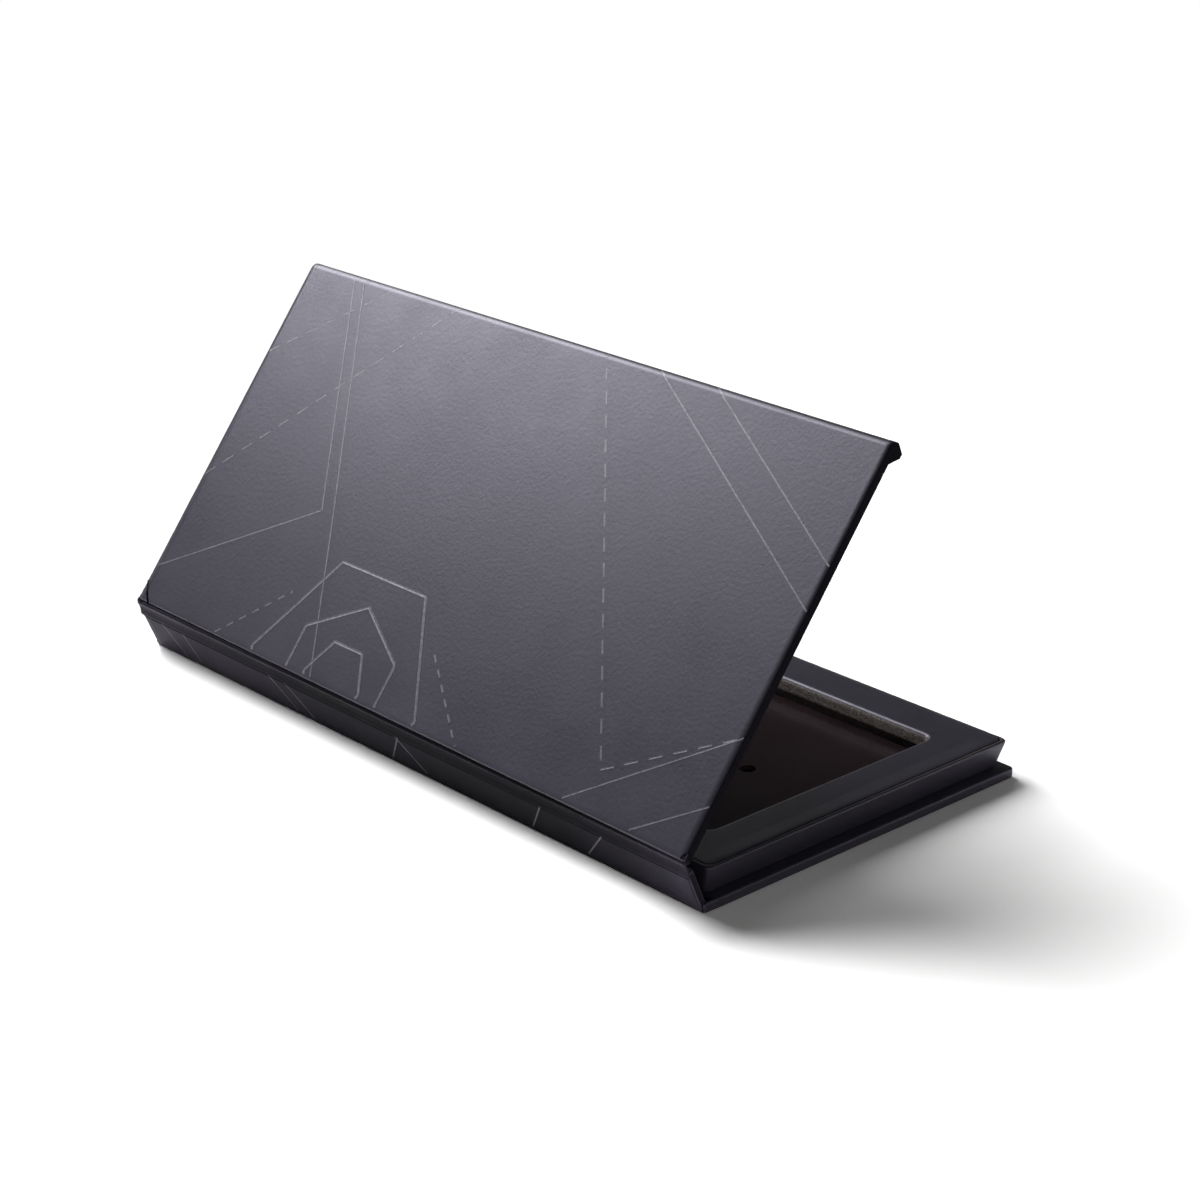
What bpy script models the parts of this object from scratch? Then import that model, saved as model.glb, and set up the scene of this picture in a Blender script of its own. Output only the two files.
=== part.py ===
"""Magnetic makeup palette: a book-style case of greyboard wrapped in soft-touch paper.

Metres, +Z up. The origin is the centre of the base's underside, X runs along the spine and
+Y from the spine to the free edge. The lid stands half open, as in the photograph.
"""

import math

import bmesh
import bpy
from mathutils import Euler, Vector

# Case
BASE_WIDTH = 0.1545
BASE_DEPTH = 0.0745
LID_END_INSET = 0.0006
LID_DEPTH = 0.0749

# Sheets and clearances
PAPER_THICKNESS = 0.00015
GLUE_GAP = 0.0001
PIECE_GAP = 0.0003
TURN_IN_WIDTH = 0.010
LINER_MARGIN = 0.0022
BOARD_EDGE_BEVEL = 0.0001

# Base
BASE_BOARD_THICKNESS = 0.0015
BASE_CORNER_RADIUS = 0.0009
BASE_EDGE_RADIUS = 0.00045

# Tray
TRAY_SIDE_LEDGE = 0.00125
TRAY_FRONT_LEDGE = 0.0006
TRAY_UNDERCUT = 0.0012
TRAY_REAR_UNDERCUT = 0.0004
TRAY_RIM_HEIGHT = 0.0005
TRAY_CORNER_RADIUS = 0.0012
TRAY_EDGE_RADIUS = 0.0003
FLOOR_BOARD_THICKNESS = 0.0007
MAGNETIC_SHEET_THICKNESS = 0.0004
LOWER_FRAME_THICKNESS = 0.0017
UPPER_FRAME_THICKNESS = 0.00205

# Pan well
SIDE_RAIL_WIDTH = 0.010
FRONT_RAIL_WIDTH = 0.00905
REAR_RAIL_WIDTH = 0.00975
WELL_CORNER_RADIUS = 0.0016
WELL_EDGE_RADIUS = 0.0010
WELL_CURL_HEIGHT = 0.0001
LOWER_FRAME_SETBACK = 0.0002
HOLE_DIAMETER = 0.0029
HOLE_TO_WELL_END = 0.018

# Spine and gutter
SPINE_HEIGHT = 0.0085
SPINE_BOARD_THICKNESS = 0.0009
SPINE_EDGE_RADIUS = 0.0004
GUTTER_WIDTH = 0.0025
GUTTER_DEPTH = 0.0003
SPINE_LEAN = math.radians(22.5)

# Lid and lip
LID_BOARD_THICKNESS = 0.001
LID_HINGE_EDGE_RADIUS = 0.0004
LID_END_RADIUS = 0.0004
LID_FREE_EDGE_RADIUS = 0.0015
LIP_DROP = 0.0019
LIP_FOOT_WIDTH = 0.0009
LIP_FOOT_SETBACK = 0.0011
PLATE_TRIM = 0.000002
LID_ANGLE = math.radians(52.0)

# Closing magnets
MAGNET_LENGTH = 0.012
TRAY_MAGNET_WIDTH = 0.0025
TRAY_MAGNET_THICKNESS = 0.001
LIP_MAGNET_WIDTH = 0.0012
LIP_MAGNET_THICKNESS = 0.0008
MAGNET_CLEARANCE = 0.0002
MAGNET_WALL = 0.0014
MAGNET_SPREAD = 0.044
MAGNET_BEVEL = 0.0001

# Cuts and rounding steps
CUT_OVERRUN = 0.002
CORNER_STEPS = 4
EDGE_STEPS = 3
WIDE_EDGE_STEPS = 6
GUTTER_STEPS = 6
HOLE_SIDES = 24

# Heights of the stack, from the underside up
WRAP = PAPER_THICKNESS + GLUE_GAP
BASE_TOP = BASE_BOARD_THICKNESS + WRAP + WRAP
FLOOR_BOARD_BOTTOM = BASE_TOP + GLUE_GAP
FLOOR_BOARD_TOP = FLOOR_BOARD_BOTTOM + FLOOR_BOARD_THICKNESS
SHEET_BOTTOM = FLOOR_BOARD_TOP + GLUE_GAP
SHEET_TOP = SHEET_BOTTOM + MAGNETIC_SHEET_THICKNESS
LOWER_FRAME_BOTTOM = FLOOR_BOARD_TOP + GLUE_GAP
LOWER_FRAME_TOP = LOWER_FRAME_BOTTOM + LOWER_FRAME_THICKNESS
UPPER_FRAME_BOTTOM = LOWER_FRAME_TOP + GLUE_GAP
UPPER_FRAME_TOP = UPPER_FRAME_BOTTOM + UPPER_FRAME_THICKNESS
TRAY_TOP = UPPER_FRAME_TOP + WRAP
TRAY_WALL_TOP = TRAY_TOP - TRAY_RIM_HEIGHT

# The spine and lid are a little narrower than the base
LID_WIDTH = BASE_WIDTH - LID_END_INSET - LID_END_INSET

# Places along Y, measured first from the spine's outer face
SPINE_THICKNESS = SPINE_BOARD_THICKNESS + WRAP + WRAP
SPINE_INNER_FACE = SPINE_THICKNESS + WRAP
BASE_REAR = SPINE_INNER_FACE + PIECE_GAP
SPINE_AXIS_Y = -BASE_DEPTH / 2
LID_THICKNESS = LID_BOARD_THICKNESS + WRAP + WRAP
CREASE_HEIGHT = SPINE_HEIGHT + GUTTER_WIDTH
LID_START = GUTTER_DEPTH + PAPER_THICKNESS + PIECE_GAP
SPINE_FOOT = WRAP + PIECE_GAP

# The tray's rim and well on plan: x half width, y rear, y front
RIM_HALF_WIDTH = BASE_WIDTH / 2 - TRAY_SIDE_LEDGE
RIM_REAR = BASE_REAR + SPINE_AXIS_Y
RIM_FRONT = BASE_DEPTH - TRAY_FRONT_LEDGE + SPINE_AXIS_Y
WELL_HALF_WIDTH = RIM_HALF_WIDTH - SIDE_RAIL_WIDTH
WELL_REAR = RIM_REAR + REAR_RAIL_WIDTH
WELL_FRONT = RIM_FRONT - FRONT_RAIL_WIDTH
WELL_MIDDLE = (WELL_REAR + WELL_FRONT) / 2

# The front rail's magnets lie a wall's width behind the leaning front face
MAGNET_FRONT = RIM_FRONT - TRAY_UNDERCUT - WRAP - MAGNET_WALL
MAGNET_Y = MAGNET_FRONT - TRAY_MAGNET_WIDTH / 2

SOFT_TOUCH_COLOUR = (0.075, 0.07, 0.09)
PAPER_LINER_COLOUR = (0.03, 0.028, 0.034)
GREYBOARD_COLOUR = (0.30, 0.27, 0.24)
BLACK_BOARD_COLOUR = (0.035, 0.028, 0.026)
SHEET_COLOUR = (0.02, 0.016, 0.018)
MAGNET_COLOUR = (0.55, 0.55, 0.56)


def clear_scene():
    for old in list(bpy.data.objects):
        bpy.data.objects.remove(old, do_unlink=True)


def material(name, colour, roughness, metallic=0.0):
    made = bpy.data.materials.new(name)
    made.use_nodes = True
    shader = made.node_tree.nodes["Principled BSDF"]
    shader.inputs["Base Color"].default_value = (*colour, 1.0)
    shader.inputs["Roughness"].default_value = roughness
    shader.inputs["Metallic"].default_value = metallic
    return made


def axis_empty(name, location, angle):
    """An empty on a hinge axis that carries the hinged pieces."""
    empty = bpy.data.objects.new(name, None)
    bpy.context.collection.objects.link(empty)
    empty.location = location
    empty.rotation_euler = Euler((angle, 0, 0))
    return empty


def mesh_object(name, work, shader=None, parent=None):
    bmesh.ops.recalc_face_normals(work, faces=work.faces)
    mesh = bpy.data.meshes.new(name)
    work.to_mesh(mesh)
    work.free()
    made = bpy.data.objects.new(name, mesh)
    bpy.context.collection.objects.link(made)
    if shader:
        mesh.materials.append(shader)
    mesh.shade_smooth()
    mesh.set_sharp_from_angle(angle=math.radians(35))
    made.parent = parent
    return made


def loft(name, sections, shader=None, parent=None, closed=False):
    """Joins equal outlines in turn; the ends are capped, or joined into a ring when closed."""
    work = bmesh.new()
    rings = [[work.verts.new(point) for point in section] for section in sections]
    steps = list(zip(rings, rings[1:]))
    if closed:
        steps.append((rings[-1], rings[0]))
    else:
        work.faces.new(rings[0])
        work.faces.new(rings[-1])
    for lower, upper in steps:
        for index in range(len(lower)):
            work.faces.new((lower[index - 1], lower[index], upper[index], upper[index - 1]))
    return mesh_object(name, work, shader, parent)


def rounded_outline(half_width, rear, front, radius, height):
    """A rounded rectangle on plan, the same number of points for any size."""
    centres = (
        (half_width - radius, front - radius, 0),
        (radius - half_width, front - radius, 1),
        (radius - half_width, rear + radius, 2),
        (half_width - radius, rear + radius, 3),
    )
    points = []
    for x, y, quarter in centres:
        for step in range(CORNER_STEPS + 1):
            turn = (quarter + step / CORNER_STEPS) * math.pi / 2
            points.append(Vector((x + radius * math.cos(turn), y + radius * math.sin(turn), height)))
    return points


def quarter_steps(radius, steps=EDGE_STEPS):
    """Inset and height below the face for points round a quarter, from the side up."""
    turns = [step / steps * math.pi / 2 for step in range(steps + 1)]
    return [(radius * (1 - math.cos(turn)), radius * (1 - math.sin(turn))) for turn in turns]


def inset_polygon(points, distance):
    """Moves each side of a closed outline inwards; points turn counter-clockwise."""
    moved = []
    count = len(points)
    for index in range(count):
        before = points[index] - points[index - 1]
        after = points[(index + 1) % count] - points[index]
        normal_before = Vector((-before.y, before.x)).normalized()
        normal_after = Vector((-after.y, after.x)).normalized()
        middle = normal_before + normal_after
        moved.append(points[index] + middle * (distance * 2 / middle.length_squared))
    return moved


def clip_polygon(points, level, keep_above):
    """The part of an outline on one side of a level; its second coordinate is the height."""
    kept = []
    for index in range(len(points)):
        start = points[index - 1]
        end = points[index]
        start_in = (start.y > level) == keep_above
        end_in = (end.y > level) == keep_above
        if start_in != end_in:
            share = (level - start.y) / (end.y - start.y)
            kept.append(start.lerp(end, share))
        if end_in:
            kept.append(end)
    return kept


def spread_along_x(outline, half_width, end_radius):
    """Sections of an outline along X whose ends are rounded over by end_radius."""
    sections = []
    inner_half = half_width - end_radius
    for side in (-1, 1):
        ends = []
        for inset, below in quarter_steps(end_radius):
            x = side * (inner_half + end_radius - below)
            ends.append([Vector((x, point.x, point.y)) for point in inset_polygon(outline, inset)])
        sections += ends[::-1] if side < 0 else ends
    return sections


def extrude_along_x(outline, half_width):
    """The two end sections of a bar with this outline."""
    return [[Vector((x, point.x, point.y)) for point in outline] for x in (-half_width, half_width)]


def box(name, low, high, shader=None, parent=None):
    outline = [(low[0], low[1]), (high[0], low[1]), (high[0], high[1]), (low[0], high[1])]
    sections = [[Vector((x, y, z)) for x, y in outline] for z in (low[2], high[2])]
    return loft(name, sections, shader, parent)


def cut(piece, cutter, operation="DIFFERENCE"):
    """Cuts a piece with a hidden cutter that stays editable in the scene."""
    cutter.hide_render = True
    cutter.display_type = "WIRE"
    modifier = piece.modifiers.new(cutter.name, "BOOLEAN")
    modifier.operation = operation
    modifier.solver = "EXACT"
    modifier.object = cutter


def soften(piece, width):
    bevel = piece.modifiers.new("softened edges", "BEVEL")
    bevel.width = width
    bevel.segments = 1
    bevel.limit_method = "ANGLE"


def base_outline(inset, height):
    """The base's plan inside its outer face, at a height."""
    return rounded_outline(
        BASE_WIDTH / 2 - inset,
        RIM_REAR + inset,
        BASE_DEPTH + SPINE_AXIS_Y - inset,
        BASE_CORNER_RADIUS - inset,
        height,
    )


def base_board(shader):
    sections = [base_outline(WRAP, WRAP), base_outline(WRAP, BASE_TOP - WRAP)]
    piece = loft("base_board", sections, shader)
    soften(piece, BASE_EDGE_RADIUS - WRAP)
    return piece


def base_cover_paper(shader):
    """A wrap open at the top, with the tab that reaches back to the spine's hinge."""
    outer_steps = quarter_steps(BASE_EDGE_RADIUS)
    inner_steps = quarter_steps(BASE_EDGE_RADIUS - PAPER_THICKNESS)
    inner_top = BASE_TOP - PAPER_THICKNESS
    sections = []
    for inset, below in outer_steps[::-1]:
        sections.append(base_outline(inset, below))
    for inset, below in outer_steps:
        sections.append(base_outline(inset, BASE_TOP - below))
    sections.append(base_opening(BASE_TOP))
    sections.append(base_opening(inner_top))
    for inset, below in inner_steps[::-1]:
        sections.append(base_outline(PAPER_THICKNESS + inset, inner_top - below))
    for inset, below in inner_steps:
        sections.append(base_outline(PAPER_THICKNESS + inset, PAPER_THICKNESS + below))
    piece = loft("base_cover_paper", sections, shader)
    tab_half = BASE_WIDTH / 2 - BASE_CORNER_RADIUS
    tab_low = (-tab_half, SPINE_AXIS_Y + PIECE_GAP, 0)
    tab_high = (tab_half, RIM_REAR + BASE_EDGE_RADIUS + PAPER_THICKNESS, PAPER_THICKNESS)
    cut(piece, box("hinge tab", tab_low, tab_high), "UNION")
    return piece


def base_opening(height):
    """The inner edge of the paper that is turned in on the base board."""
    return rounded_outline(
        BASE_WIDTH / 2 - TURN_IN_WIDTH,
        RIM_REAR + TURN_IN_WIDTH,
        BASE_DEPTH + SPINE_AXIS_Y - TURN_IN_WIDTH,
        BASE_CORNER_RADIUS,
        height,
    )


def tray_outline(inset, height):
    """The tray's plan inside its outer face: upright at the rim, leaning in below it."""
    lean_share = max(0, (TRAY_WALL_TOP - height) / (TRAY_WALL_TOP - BASE_TOP))
    side = TRAY_UNDERCUT * lean_share + inset
    rear = TRAY_REAR_UNDERCUT * lean_share + inset
    radius = TRAY_CORNER_RADIUS - inset
    return rounded_outline(RIM_HALF_WIDTH - side, RIM_REAR + rear, RIM_FRONT - side, radius, height)


def well_outline(setback, height):
    """The well's plan, widened by a setback into the rails."""
    return rounded_outline(
        WELL_HALF_WIDTH + setback,
        WELL_REAR - setback,
        WELL_FRONT + setback,
        WELL_CORNER_RADIUS + setback,
        height,
    )


def locating_holes(bottom, top):
    """Cutters for the two round holes on the well's middle line."""
    cutters = []
    for side, word in ((-1, "left"), (1, "right")):
        work = bmesh.new()
        height = top - bottom + CUT_OVERRUN + CUT_OVERRUN
        radius = HOLE_DIAMETER / 2
        bmesh.ops.create_cone(
            work, cap_ends=True, segments=HOLE_SIDES, radius1=radius, radius2=radius, depth=height
        )
        x = side * (WELL_HALF_WIDTH - HOLE_TO_WELL_END)
        bmesh.ops.translate(work, verts=work.verts, vec=(x, WELL_MIDDLE, (bottom + top) / 2))
        cutters.append(mesh_object("locating hole " + word, work))
    return cutters


def floor_board(shader, holes):
    sections = [tray_outline(WRAP, FLOOR_BOARD_BOTTOM), tray_outline(WRAP, FLOOR_BOARD_TOP)]
    piece = loft("floor_board", sections, shader)
    for hole in holes:
        cut(piece, hole)
    return piece


def magnetic_sheet(shader, holes):
    """A loose fit between the rails, glued to the floor board."""
    setback = LOWER_FRAME_SETBACK - PIECE_GAP
    sections = [well_outline(setback, SHEET_BOTTOM), well_outline(setback, SHEET_TOP)]
    piece = loft("magnetic_sheet", sections, shader)
    for hole in holes:
        cut(piece, hole)
    return piece


def lower_ring(name, shader):
    """The whole lower frame, before it is cut into its four rails."""
    sections = [
        tray_outline(WRAP, LOWER_FRAME_BOTTOM),
        tray_outline(WRAP, LOWER_FRAME_TOP),
        well_outline(LOWER_FRAME_SETBACK, LOWER_FRAME_TOP),
        well_outline(LOWER_FRAME_SETBACK, LOWER_FRAME_BOTTOM),
    ]
    return loft(name, sections, shader, closed=True)


def magnet_box(name, side, bottom, top, width, centre_y, play, shader=None, parent=None):
    middle = side * MAGNET_SPREAD
    half = MAGNET_LENGTH / 2 + play
    low = (middle - half, centre_y - width / 2 - play, bottom)
    high = (middle + half, centre_y + width / 2 + play, top)
    return box(name, low, high, shader, parent)


def lower_rails(shader):
    """Front and rear rails run the full width; the side rails butt between them."""
    reach = BASE_WIDTH
    low = LOWER_FRAME_BOTTOM - CUT_OVERRUN
    high = LOWER_FRAME_TOP + CUT_OVERRUN
    front = WELL_FRONT + LOWER_FRAME_SETBACK
    rear = WELL_REAR - LOWER_FRAME_SETBACK
    side = WELL_HALF_WIDTH
    keeps = {
        "lower_rail_front": ((-reach, front, low), (reach, reach, high)),
        "lower_rail_rear": ((-reach, -reach, low), (reach, rear, high)),
        "lower_rail_left": ((-reach, rear + PIECE_GAP, low), (-side, front - PIECE_GAP, high)),
        "lower_rail_right": ((side, rear + PIECE_GAP, low), (reach, front - PIECE_GAP, high)),
    }
    rails = {}
    for name, (corner_low, corner_high) in keeps.items():
        rails[name] = lower_ring(name, shader)
        cut(rails[name], box(name + " stretch", corner_low, corner_high), "INTERSECT")
    return rails


def tray_magnets(rail, shader):
    """Two bars in pockets that open at the front rail's top."""
    top = LOWER_FRAME_TOP
    bottom = top - TRAY_MAGNET_THICKNESS
    floor = bottom - GLUE_GAP
    for side, word in ((-1, "left"), (1, "right")):
        pocket = magnet_box(
            "tray pocket " + word, side, floor, top + CUT_OVERRUN,
            TRAY_MAGNET_WIDTH, MAGNET_Y, MAGNET_CLEARANCE,
        )
        cut(rail, pocket)
        magnet = magnet_box(
            "tray_magnet_" + word, side, bottom, top, TRAY_MAGNET_WIDTH, MAGNET_Y, 0, shader
        )
        soften(magnet, MAGNET_BEVEL)


def upper_frame(shader):
    """A die-cut ring; its top edge in the well is rounded under the paper."""
    rounding = WELL_EDGE_RADIUS - PAPER_THICKNESS
    sections = [
        tray_outline(WRAP, UPPER_FRAME_BOTTOM),
        tray_outline(WRAP, TRAY_WALL_TOP),
        tray_outline(WRAP, UPPER_FRAME_TOP),
    ]
    for inset, below in quarter_steps(rounding, WIDE_EDGE_STEPS)[::-1]:
        sections.append(well_outline(WRAP + inset, UPPER_FRAME_TOP - below))
    curl_end = TRAY_TOP - WELL_EDGE_RADIUS - WELL_CURL_HEIGHT - GLUE_GAP
    sections.append(well_outline(WRAP, curl_end))
    sections.append(well_outline(PAPER_THICKNESS, curl_end))
    sections.append(well_outline(PAPER_THICKNESS, UPPER_FRAME_BOTTOM))
    return loft("upper_frame", sections, shader, closed=True)


def tray_cover_paper(shader):
    """One wrap: leaning walls, rim, flat top and the curl over the well's edge."""
    inner_top = TRAY_TOP - PAPER_THICKNESS
    curl_end = TRAY_TOP - WELL_EDGE_RADIUS - WELL_CURL_HEIGHT
    sections = [tray_outline(0, BASE_TOP + GLUE_GAP), tray_outline(0, TRAY_WALL_TOP)]
    for inset, below in quarter_steps(TRAY_EDGE_RADIUS):
        sections.append(tray_outline(inset, TRAY_TOP - below))
    for inset, below in quarter_steps(WELL_EDGE_RADIUS, WIDE_EDGE_STEPS)[::-1]:
        sections.append(well_outline(inset, TRAY_TOP - below))
    sections.append(well_outline(0, curl_end))
    sections.append(well_outline(PAPER_THICKNESS, curl_end))
    for inset, below in quarter_steps(WELL_EDGE_RADIUS - PAPER_THICKNESS, WIDE_EDGE_STEPS):
        sections.append(well_outline(PAPER_THICKNESS + inset, inner_top - below))
    for inset, below in quarter_steps(TRAY_EDGE_RADIUS - PAPER_THICKNESS)[::-1]:
        sections.append(tray_outline(PAPER_THICKNESS + inset, inner_top - below))
    sections.append(tray_outline(PAPER_THICKNESS, TRAY_WALL_TOP))
    sections.append(tray_outline(PAPER_THICKNESS, BASE_TOP + GLUE_GAP))
    return loft("tray_cover_paper", sections, shader, closed=True)


def spine_section():
    """Closed outline round the upright wrapped board alone, counter-clockwise in (y, z)."""
    steps = quarter_steps(SPINE_EDGE_RADIUS)
    foot = [Vector((inset, SPINE_FOOT + below)) for inset, below in steps[::-1]]
    head = [Vector((inset, SPINE_HEIGHT - below)) for inset, below in steps]
    corners = [Vector((SPINE_THICKNESS, SPINE_HEIGHT)), Vector((SPINE_THICKNESS, SPINE_FOOT))]
    return (foot + head + corners)[::-1]


def gutter_section():
    """Closed outline of the paper strip from the board's head to the crease."""
    end = CREASE_HEIGHT - PIECE_GAP
    start = SPINE_HEIGHT - SPINE_EDGE_RADIUS
    outer = []
    for step in range(GUTTER_STEPS + 1):
        share = step / GUTTER_STEPS
        dip = GUTTER_DEPTH * math.sin(math.pi * share)
        outer.append(Vector((dip, start + (end - start) * share)))
    inner = [Vector((point.x + PAPER_THICKNESS, point.y)) for point in outer]
    return inner + outer[::-1]


def spine_pieces(parent, paper, board, liner):
    section = spine_section()
    half = LID_WIDTH / 2
    sections = spread_along_x(section, half, LID_END_RADIUS)
    wrap = loft("spine_cover_paper", sections, paper, parent)
    inside = inset_polygon(section, PAPER_THICKNESS)
    inner_end = LID_END_RADIUS - PAPER_THICKNESS
    hollow = spread_along_x(inside, half - PAPER_THICKNESS, inner_end)
    cut(wrap, loft("spine hollow", hollow, parent=parent))
    opening_half = half - TURN_IN_WIDTH
    low = (-opening_half, SPINE_THICKNESS - WRAP, SPINE_FOOT + WRAP)
    high = (opening_half, SPINE_THICKNESS + CUT_OVERRUN, SPINE_HEIGHT - WRAP)
    cut(wrap, box("spine opening", low, high, parent=parent))
    strip = extrude_along_x(gutter_section(), half - LID_END_RADIUS)
    cut(wrap, loft("gutter strip", strip, parent=parent), "UNION")

    core = extrude_along_x(inset_polygon(section, WRAP), half - WRAP)
    soften(loft("spine_board", core, board, parent), BOARD_EDGE_BEVEL)

    liner_half = half - LINER_MARGIN
    low = (-liner_half, SPINE_THICKNESS + GLUE_GAP, SPINE_FOOT + SPINE_EDGE_RADIUS)
    high = (liner_half, SPINE_INNER_FACE, SPINE_HEIGHT - SPINE_EDGE_RADIUS)
    box("spine_liner", low, high, liner, parent)


def lid_outline():
    """The wrapped lid's section, closed: crease at the origin, outer face at height 0."""
    inner = -LID_THICKNESS
    foot = inner - LIP_DROP
    foot_front = LID_DEPTH - LIP_FOOT_SETBACK
    foot_back = foot_front - LIP_FOOT_WIDTH
    points = [Vector((LID_START, inner)), Vector((foot_back - LIP_DROP, inner))]
    points += [Vector((foot_back, foot)), Vector((foot_front, foot))]
    steps = quarter_steps(LID_FREE_EDGE_RADIUS, WIDE_EDGE_STEPS)
    points += [Vector((LID_DEPTH - inset, -below)) for inset, below in steps]
    steps = quarter_steps(LID_HINGE_EDGE_RADIUS)
    points += [Vector((LID_START + inset, -below)) for inset, below in steps[::-1]]
    return points


def lid_pieces(parent, paper, board, liner, magnet):
    section = lid_outline()
    half = LID_WIDTH / 2
    wrap = loft("lid_cover_paper", spread_along_x(section, half, LID_END_RADIUS), paper, parent)
    inside = inset_polygon(section, PAPER_THICKNESS)
    inner_end = LID_END_RADIUS - PAPER_THICKNESS
    hollow = spread_along_x(inside, half - PAPER_THICKNESS, inner_end)
    cut(wrap, loft("lid hollow", hollow, parent=parent))
    opening_half = half - TURN_IN_WIDTH
    lip_root = LID_DEPTH - LIP_FOOT_SETBACK - LIP_FOOT_WIDTH - LIP_DROP
    low = (-opening_half, LID_START + TURN_IN_WIDTH, -LID_THICKNESS - CUT_OVERRUN)
    high = (opening_half, lip_root - TURN_IN_WIDTH, WRAP - LID_THICKNESS)
    cut(wrap, box("lid opening", low, high, parent=parent))

    core = inset_polygon(section, WRAP)
    plate = clip_polygon(core, PLATE_TRIM - WRAP - LID_BOARD_THICKNESS, True)
    soften(loft("lid_board", extrude_along_x(plate, half - WRAP), board, parent), BOARD_EDGE_BEVEL)
    split = WRAP + LID_BOARD_THICKNESS + GLUE_GAP
    lip = clip_polygon(core, -split, False)
    bar = loft("lip_bar", extrude_along_x(lip, half - WRAP), board, parent)
    soften(bar, BOARD_EDGE_BEVEL)

    magnet_y = LID_DEPTH - LIP_FOOT_SETBACK - LIP_FOOT_WIDTH / 2
    top = -split
    bottom = top - LIP_MAGNET_THICKNESS
    for side, word in ((-1, "left"), (1, "right")):
        pocket = magnet_box(
            "lip pocket " + word, side, bottom - GLUE_GAP, top + CUT_OVERRUN,
            LIP_MAGNET_WIDTH, magnet_y, MAGNET_CLEARANCE, parent=parent,
        )
        cut(bar, pocket)
        bar_magnet = magnet_box(
            "lip_magnet_" + word, side, bottom, top, LIP_MAGNET_WIDTH, magnet_y, 0, magnet, parent
        )
        soften(bar_magnet, MAGNET_BEVEL)

    liner_half = half - LINER_MARGIN
    low = (-liner_half, LID_START + LINER_MARGIN, -LID_THICKNESS - WRAP)
    high = (liner_half, lip_root - PIECE_GAP, -LID_THICKNESS - GLUE_GAP)
    box("lid_liner", low, high, liner, parent)


def build():
    clear_scene()
    paper = material("soft_touch_paper", SOFT_TOUCH_COLOUR, 0.55)
    liner = material("liner_paper", PAPER_LINER_COLOUR, 0.6)
    greyboard = material("greyboard", GREYBOARD_COLOUR, 0.9)
    black_board = material("black_board", BLACK_BOARD_COLOUR, 0.9)
    magnet_sheet = material("magnet_sheet", SHEET_COLOUR, 0.3)
    magnet = material("magnet_steel", MAGNET_COLOUR, 0.35, 1.0)

    base_board(greyboard)
    base_cover_paper(paper)
    holes = locating_holes(FLOOR_BOARD_BOTTOM, SHEET_TOP)
    floor_board(black_board, holes)
    magnetic_sheet(magnet_sheet, holes)
    rails = lower_rails(black_board)
    tray_magnets(rails["lower_rail_front"], magnet)
    upper_frame(black_board)
    tray_cover_paper(paper)

    spine_axis = axis_empty("spine_axis", (0, SPINE_AXIS_Y, 0), SPINE_LEAN)
    spine_pieces(spine_axis, paper, greyboard, liner)
    crease_y = SPINE_AXIS_Y - CREASE_HEIGHT * math.sin(SPINE_LEAN)
    crease_z = CREASE_HEIGHT * math.cos(SPINE_LEAN)
    lid_axis = axis_empty("lid_axis", (0, crease_y, crease_z), LID_ANGLE)
    lid_pieces(lid_axis, paper, greyboard, liner, magnet)
    bpy.context.view_layer.update()


build()
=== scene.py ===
"""Magnetic makeup palette: papers, boards, hinge folds, studio and camera round its frame."""

import math

import bmesh
import bpy
from mathutils import Matrix, Vector, noise


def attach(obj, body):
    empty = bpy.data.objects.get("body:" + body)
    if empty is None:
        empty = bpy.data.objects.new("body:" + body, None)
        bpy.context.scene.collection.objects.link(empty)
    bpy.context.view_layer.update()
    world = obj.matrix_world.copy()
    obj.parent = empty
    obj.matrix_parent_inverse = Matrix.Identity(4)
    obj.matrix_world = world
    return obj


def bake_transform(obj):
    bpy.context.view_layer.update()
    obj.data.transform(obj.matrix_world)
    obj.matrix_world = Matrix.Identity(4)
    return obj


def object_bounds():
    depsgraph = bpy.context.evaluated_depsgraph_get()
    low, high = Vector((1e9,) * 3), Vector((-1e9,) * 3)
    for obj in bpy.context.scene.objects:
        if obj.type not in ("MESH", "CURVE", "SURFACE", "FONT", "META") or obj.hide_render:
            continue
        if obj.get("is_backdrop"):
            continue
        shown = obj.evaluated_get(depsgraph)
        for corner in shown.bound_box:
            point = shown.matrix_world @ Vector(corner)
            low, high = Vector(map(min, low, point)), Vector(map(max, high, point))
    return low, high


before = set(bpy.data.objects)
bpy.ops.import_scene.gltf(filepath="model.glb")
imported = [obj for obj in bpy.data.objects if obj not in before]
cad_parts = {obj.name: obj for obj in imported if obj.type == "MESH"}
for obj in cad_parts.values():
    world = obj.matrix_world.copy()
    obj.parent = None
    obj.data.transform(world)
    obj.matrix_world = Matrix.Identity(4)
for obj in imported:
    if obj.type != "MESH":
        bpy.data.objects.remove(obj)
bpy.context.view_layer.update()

MM = 0.001
QUARTER_TURN = math.pi / 2

# Hinge frames: the spine turns about its foot, the lid about the crease

SPINE_FOOT_AT = Vector((0.0, -37.25 * MM, 0.0))
SPINE_LEAN = math.radians(22.5)
CREASE_AT = Vector((0.0, -41.4595 * MM, 10.1627 * MM))
LID_LEAN = math.radians(52.0)
SPINE_FRAME = Matrix.Translation(SPINE_FOOT_AT) @ Matrix.Rotation(SPINE_LEAN, 4, "X")
LID_FRAME = Matrix.Translation(CREASE_AT) @ Matrix.Rotation(LID_LEAN, 4, "X")

# Sizes of the solids that the added papers and boards follow

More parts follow.
